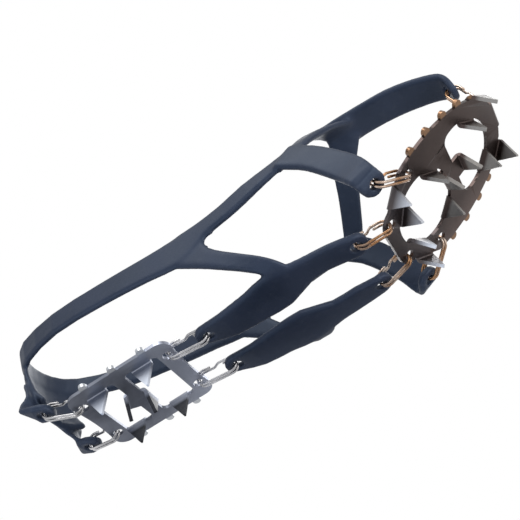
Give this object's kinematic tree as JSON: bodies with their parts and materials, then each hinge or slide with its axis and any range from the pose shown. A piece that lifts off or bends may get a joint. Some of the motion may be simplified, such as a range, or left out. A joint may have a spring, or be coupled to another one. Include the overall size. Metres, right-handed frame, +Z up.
{
  "type": "ice cleat",
  "caption": "Slip-on ice cleat: a stretch rubber harness carries a toothed heel plate and a toothed forefoot plate on double-turn wire links under a shoe.",
  "frame": {"origin": "middle of the heel plate's crossbar, on its upper face, where the shoe's heel stands", "axes": "+X towards the toe, +Z up to the foot, right side of the shoe at -Y"},
  "size_m": [0.3037, 0.1012, 0.1048],
  "materials": {
    "rubber": "satin",
    "steel_heel": "satin",
    "steel_front": "satin",
    "wire": "bright"
  },
  "bodies": {
    "harness": {"harness": "rubber"},
    "heel_plate": {"heel_plate": "steel_heel"},
    "front_plate": {"front_plate": "steel_front"},
    "toe_link": {"toe_link": "wire"},
    "waist_link_right": {"waist_link_right": "wire"},
    "waist_link_left": {"waist_link_left": "wire"},
    "tail_link_right": {"tail_link_right": "wire"},
    "tail_link_left": {"tail_link_left": "wire"},
    "arch_link_right": {"arch_link_right": "wire"},
    "arch_link_left": {"arch_link_left": "wire"},
    "heel_link_right": {"heel_link_right": "wire"},
    "heel_link_left": {"heel_link_left": "wire"}
  },
  "joints": [
    {"name": "heel_rock", "type": "hinge", "parent": "harness", "child": "heel_plate", "pos_m": [-0.056, 0, 0.009], "axis": [0, 1, 0], "range_deg": [-2, 2]},
    {"name": "front_rock", "type": "hinge", "parent": "harness", "child": "front_plate", "pos_m": [0.236, 0, 0.011], "axis": [0, 1, 0], "range_deg": [-0.8, 1.5]},
    {"name": "toe_swing", "type": "hinge", "parent": "harness", "child": "toe_link", "pos_m": [0.23105, 0, 0.06989], "axis": [0, 1, 0], "range_deg": [-2.2, 1.2]},
    {"name": "waist_swing_right", "type": "hinge", "parent": "harness", "child": "waist_link_right", "pos_m": [0.164, -0.043, -0.003], "axis": [-0.5656, 0.7727, -0.2882], "range_deg": [-3.2, 1.7]},
    {"name": "waist_swing_left", "type": "hinge", "parent": "harness", "child": "waist_link_left", "pos_m": [0.164, 0.043, -0.003], "axis": [0.5656, 0.7727, 0.2882], "range_deg": [-3.2, 1.7]},
    {"name": "tail_swing_right", "type": "hinge", "parent": "harness", "child": "tail_link_right", "pos_m": [0.141, -0.018, -0.0085], "axis": [-0.188, 0.9775, -0.0958], "range_deg": [-5.4, 2.9]},
    {"name": "tail_swing_left", "type": "hinge", "parent": "harness", "child": "tail_link_left", "pos_m": [0.141, 0.018, -0.0085], "axis": [0.188, 0.9775, 0.0958], "range_deg": [-5.4, 2.9]},
    {"name": "arch_swing_right", "type": "hinge", "parent": "harness", "child": "arch_link_right", "pos_m": [0.0538, -0.016, -0.004], "axis": [0, -1, 0], "range_deg": [-6.8, 6.8]},
    {"name": "arch_swing_left", "type": "hinge", "parent": "harness", "child": "arch_link_left", "pos_m": [0.0538, 0.016, -0.004], "axis": [0, -1, 0], "range_deg": [-6.8, 6.8]},
    {"name": "heel_swing_right", "type": "hinge", "parent": "harness", "child": "heel_link_right", "pos_m": [-0.0463, -0.021, 0.006], "axis": [-0.2265, 0.974, 0], "range_deg": [-2.9, 2.9]},
    {"name": "heel_swing_left", "type": "hinge", "parent": "harness", "child": "heel_link_left", "pos_m": [-0.0463, 0.021, 0.006], "axis": [0.2265, 0.974, 0], "range_deg": [-2.9, 2.9]}
  ],
  "couplings": [
    {"joint": "toe_swing", "follows": "front_rock", "ratio": -1.4169},
    {"joint": "waist_swing_right", "follows": "front_rock", "ratio": -2.0754},
    {"joint": "waist_swing_left", "follows": "front_rock", "ratio": -2.0754},
    {"joint": "tail_swing_right", "follows": "front_rock", "ratio": -3.5625},
    {"joint": "tail_swing_left", "follows": "front_rock", "ratio": -3.5625},
    {"joint": "arch_swing_right", "follows": "heel_rock", "ratio": 3.3912},
    {"joint": "arch_swing_left", "follows": "heel_rock", "ratio": 3.3912},
    {"joint": "heel_swing_right", "follows": "heel_rock", "ratio": 1.4114},
    {"joint": "heel_swing_left", "follows": "heel_rock", "ratio": 1.4114}
  ]
}
